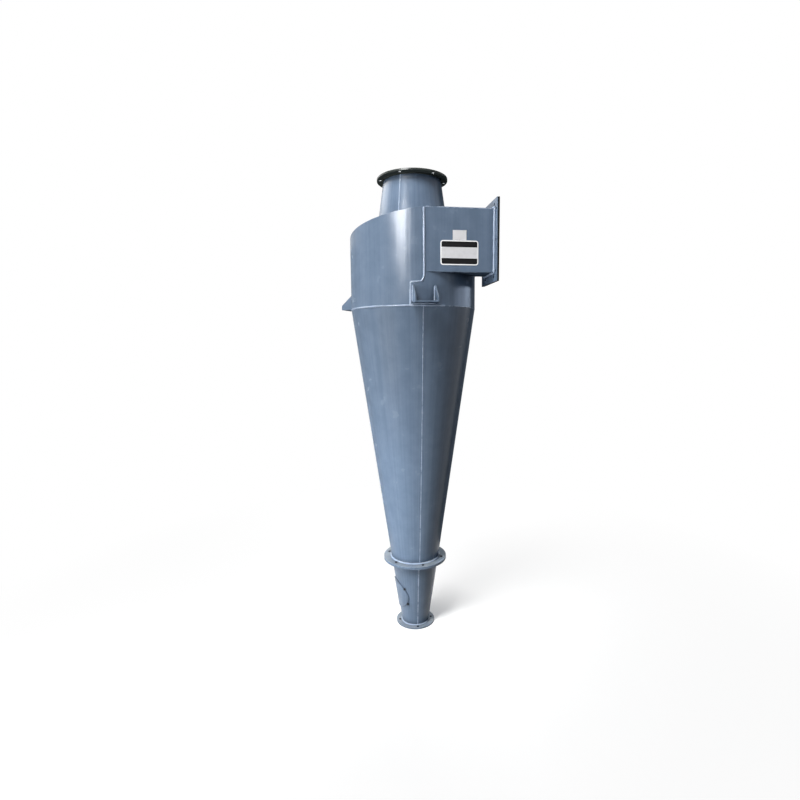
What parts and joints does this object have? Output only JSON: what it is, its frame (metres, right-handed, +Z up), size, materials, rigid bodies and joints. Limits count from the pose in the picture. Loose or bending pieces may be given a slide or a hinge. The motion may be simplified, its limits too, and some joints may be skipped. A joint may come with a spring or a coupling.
{
  "type": "cyclone separator",
  "caption": "Sheet-steel cyclone dust separator with a spiral roof, rectangular side inlet, flanged gas outlet, long cone and flanged dust outlet, hung on bracket lugs.",
  "frame": {"origin": "on the cyclone's axis, in the plane of the support lugs' undersides", "axes": "+Z up along the cyclone's axis, +X along the inlet duct out of its mouth, -Y the side that the inlet's outer plate faces"},
  "size_m": [0.6853, 0.6668, 2.215],
  "materials": {
    "blue_paint": "satin enamel over rolled and welded sheet",
    "black_paint": "satin black paint",
    "black_rubber": "matt sheet rubber"
  },
  "bodies": {
    "root": {"outlet_flange": "black_paint", "outlet_cone": "blue_paint", "vortex_tube": "blue_paint", "spiral_roof": "blue_paint", "roof_end_plate": "blue_paint", "barrel_wall": "blue_paint", "inlet_outer_side": "blue_paint", "inlet_inner_side": "blue_paint", "inlet_top": "blue_paint", "inlet_floor": "blue_paint", "inlet_flange": "blue_paint", "inlet_gasket": "black_rubber", "main_cone": "blue_paint", "cone_flange": "blue_paint", "discharge_top_flange": "blue_paint", "discharge_cone": "blue_paint", "dust_flange": "blue_paint", "hand_hole_gasket": "black_rubber", "hand_hole_cover": "blue_paint", "front_lug_base": "blue_paint", "front_lug_gussets": "blue_paint", "left_lug_base": "blue_paint", "left_lug_gussets": "blue_paint", "right_lug_base": "blue_paint", "right_lug_gussets": "blue_paint"}
  },
  "joints": []
}
